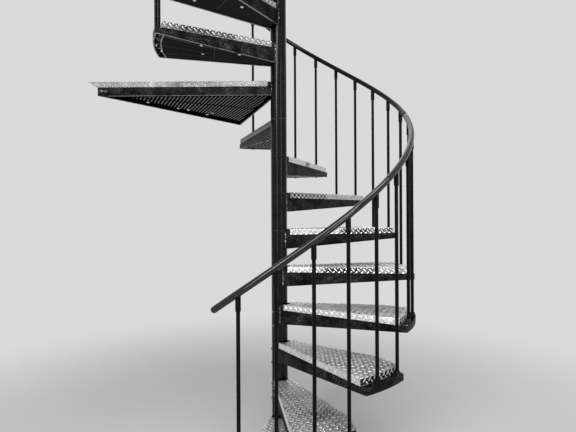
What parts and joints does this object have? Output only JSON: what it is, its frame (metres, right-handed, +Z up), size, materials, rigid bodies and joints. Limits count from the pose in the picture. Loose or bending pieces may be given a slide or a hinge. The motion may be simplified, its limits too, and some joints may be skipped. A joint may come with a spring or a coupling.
{
  "type": "spiral staircase",
  "caption": "Black steel spiral stair with tapered checker plate treads, a triangular landing part way up, round balusters and a helical tube handrail.",
  "frame": {"origin": "centre of the floor flange's underside, on the column's axis at floor level", "axes": "+Z up the column; the stair is entered from -Y and climbs anticlockwise seen from above"},
  "size_m": [2.0214, 1.6347, 3.7488],
  "materials": {
    "frame_paint": "black enamel, scuffed and dusty, half gloss",
    "baluster_paint": "black enamel, half gloss",
    "rail_paint": "black enamel, polished by hands",
    "checker_plate": "mill finish checker plate, trodden and marked",
    "soffit_board": "board painted black"
  },
  "bodies": {
    "root": {"floor_flange": "frame_paint", "centre_column": "frame_paint", "column_cap": "frame_paint", "tread_frame_01": "frame_paint", "tread_frame_02": "frame_paint", "tread_frame_03": "frame_paint", "tread_frame_04": "frame_paint", "tread_frame_05": "frame_paint", "tread_frame_06": "frame_paint", "tread_frame_07": "frame_paint", "tread_frame_08": "frame_paint", "tread_frame_09": "frame_paint", "tread_frame_11": "frame_paint", "tread_frame_12": "frame_paint", "tread_frame_13": "frame_paint", "tread_frame_14": "frame_paint", "tread_plate_01": "checker_plate", "tread_plate_02": "checker_plate", "tread_plate_03": "checker_plate", "tread_plate_04": "checker_plate", "tread_plate_05": "checker_plate", "tread_plate_06": "checker_plate", "tread_plate_07": "checker_plate", "tread_plate_08": "checker_plate", "tread_plate_09": "checker_plate", "tread_plate_11": "checker_plate", "tread_plate_12": "checker_plate", "tread_plate_13": "checker_plate", "tread_plate_14": "checker_plate", "landing_frame": "frame_paint", "landing_plate": "checker_plate", "top_landing_frame": "frame_paint", "top_landing_plate": "checker_plate", "lower_tread_boards": "soffit_board", "upper_tread_boards": "soffit_board", "landing_boards": "soffit_board", "front_balusters": "baluster_paint", "back_balusters": "baluster_paint", "upper_balusters": "baluster_paint", "lower_ferrules": "baluster_paint", "upper_ferrules": "baluster_paint", "lower_rail_front": "rail_paint", "lower_rail_back": "rail_paint", "upper_rail": "rail_paint", "rail_end_caps": "rail_paint"}
  },
  "joints": []
}
